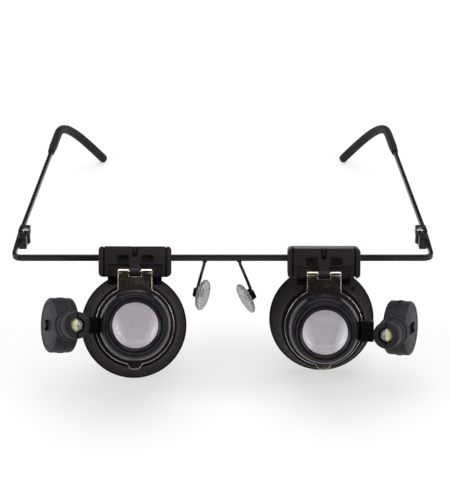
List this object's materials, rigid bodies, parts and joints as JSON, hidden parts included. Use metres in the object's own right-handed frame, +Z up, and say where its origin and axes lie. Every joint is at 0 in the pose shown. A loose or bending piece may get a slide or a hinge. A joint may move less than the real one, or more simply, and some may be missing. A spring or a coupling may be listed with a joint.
{
  "type": "head visor magnifier",
  "caption": "Spectacle-frame magnifier: folding temples and a brow bar carrying sliding, tilting flip-up loupes, each with a swivelling LED lamp pod.",
  "frame": {"origin": "bottom centre of the bounding box, on the surface that the eyecup rim and ear tips rest on", "axes": "+Z up, the front lenses look towards -Y, the temples run back along +Y, +X to the right seen from the front"},
  "size_m": [0.1444, 0.169, 0.0494],
  "materials": {
    "black_metal": "satin black lacquer",
    "gloss_black": "glossy black",
    "matte_black": "satin moulded black",
    "ear_rubber": "soft matte",
    "silicone": "clear silicone",
    "nickel": "bright nickel plate",
    "steel": "plain steel",
    "glass": "clear, polished",
    "led_lens": "clear epoxy over yellow phosphor"
  },
  "bodies": {
    "frame": {"brow_bar": "black_metal", "hinge_screw_left": "steel", "nose_wire_left": "black_metal", "pad_box_left": "black_metal", "hinge_screw_right": "steel", "nose_wire_right": "black_metal", "pad_box_right": "black_metal"},
    "left_temple": {"temple_left": "black_metal", "ear_tip_left": "ear_rubber"},
    "left_pad": {"nose_pad_left": "silicone"},
    "left_bush": {"slide_bush_left": "matte_black"},
    "left_clip": {"clip_bracket_left": "matte_black", "clip_jaw_left": "matte_black", "clip_screw_a_left": "steel", "clip_screw_b_left": "steel", "eyecup_left": "gloss_black", "hinge_pin_left": "steel", "rear_lens_left": "glass", "rear_lens_ring_left": "matte_black"},
    "left_flap": {"hinge_plate_left": "nickel", "barrel_left": "gloss_black", "barrel_retainer_left": "steel", "front_lens_left": "glass", "bezel_left": "gloss_black", "lamp_arm_left": "matte_black", "lamp_pivot_left": "steel"},
    "left_pod": {"pod_inner_left": "matte_black", "pod_outer_left": "matte_black", "coin_cell_inner_left": "steel", "coin_cell_outer_left": "steel", "contact_spring_left": "nickel", "led_left": "led_lens"},
    "left_cap": {"battery_cap_left": "matte_black"},
    "right_temple": {"temple_right": "black_metal", "ear_tip_right": "ear_rubber"},
    "right_pad": {"nose_pad_right": "silicone"},
    "right_bush": {"slide_bush_right": "matte_black"},
    "right_clip": {"clip_bracket_right": "matte_black", "clip_jaw_right": "matte_black", "clip_screw_a_right": "steel", "clip_screw_b_right": "steel", "eyecup_right": "gloss_black", "hinge_pin_right": "steel", "rear_lens_right": "glass", "rear_lens_ring_right": "matte_black"},
    "right_flap": {"hinge_plate_right": "nickel", "barrel_right": "gloss_black", "barrel_retainer_right": "steel", "front_lens_right": "glass", "bezel_right": "gloss_black", "lamp_arm_right": "matte_black", "lamp_pivot_right": "steel"},
    "right_pod": {"pod_inner_right": "matte_black", "pod_outer_right": "matte_black", "coin_cell_inner_right": "steel", "coin_cell_outer_right": "steel", "contact_spring_right": "nickel", "led_right": "led_lens"},
    "right_cap": {"battery_cap_right": "matte_black"}
  },
  "joints": [
    {"name": "left_temple_fold", "type": "hinge", "parent": "frame", "child": "left_temple", "pos_m": [-0.06915, -0.03433, 0.04063], "axis": [0, -0.1354, -0.9908], "range_deg": [0, 77]},
    {"name": "left_pad_rock", "type": "hinge", "parent": "frame", "child": "left_pad", "pos_m": [-0.0086, -0.04742, 0.02607], "axis": [0.659, 0.7206, -0.2157], "range_deg": [-6, 6]},
    {"name": "left_loupe_slide", "type": "slide", "parent": "frame", "child": "left_bush", "axis": [-1, 0, 0], "range_m": [-0.002, 0.005]},
    {"name": "left_loupe_tilt", "type": "hinge", "parent": "left_bush", "child": "left_clip", "pos_m": [-0.03, -0.05018, 0.0428], "axis": [1, 0, 0], "range_deg": [-20, 48]},
    {"name": "left_front_flip", "type": "hinge", "parent": "left_clip", "child": "left_flap", "pos_m": [-0.02955, -0.05778, 0.04239], "axis": [-0.9969, -0.0618, 0.0483], "range_deg": [0, 110]},
    {"name": "left_lamp_swivel", "type": "hinge", "parent": "left_flap", "child": "left_pod", "pos_m": [-0.04517, -0.07319, 0.03159], "axis": [0.9969, 0.0618, -0.0483], "range_deg": [-30, 30]},
    {"name": "left_battery_cap_turn", "type": "hinge", "parent": "left_pod", "child": "left_cap", "pos_m": [-0.0554, -0.06513, 0.02529], "axis": [-0.9026, -0.3392, 0.265], "range_deg": [0, 40]},
    {"name": "right_temple_fold", "type": "hinge", "parent": "frame", "child": "right_temple", "pos_m": [0.06915, -0.03433, 0.04063], "axis": [0, 0.1354, 0.9908], "range_deg": [0, 54]},
    {"name": "right_pad_rock", "type": "hinge", "parent": "frame", "child": "right_pad", "pos_m": [0.0096, -0.04756, 0.02508], "axis": [-0.5624, 0.7468, -0.3548], "range_deg": [-6, 6]},
    {"name": "right_loupe_slide", "type": "slide", "parent": "frame", "child": "right_bush", "axis": [1, 0, 0], "range_m": [-0.002, 0.005]},
    {"name": "right_loupe_tilt", "type": "hinge", "parent": "right_bush", "child": "right_clip", "pos_m": [0.0344, -0.05018, 0.0428], "axis": [1, 0, 0], "range_deg": [-29, 39]},
    {"name": "right_front_flip", "type": "hinge", "parent": "right_clip", "child": "right_flap", "pos_m": [0.03425, -0.05763, 0.04121], "axis": [-0.9997, 0.0229, -0.0127], "range_deg": [0, 110]},
    {"name": "right_lamp_swivel", "type": "hinge", "parent": "right_flap", "child": "right_pod", "pos_m": [0.05013, -0.07103, 0.02668], "axis": [0.9997, -0.0229, 0.0127], "range_deg": [-30, 30]},
    {"name": "right_battery_cap_turn", "type": "hinge", "parent": "right_pod", "child": "right_cap", "pos_m": [0.06102, -0.06165, 0.02149], "axis": [0.9239, -0.3347, 0.1855], "range_deg": [0, 40]}
  ]
}
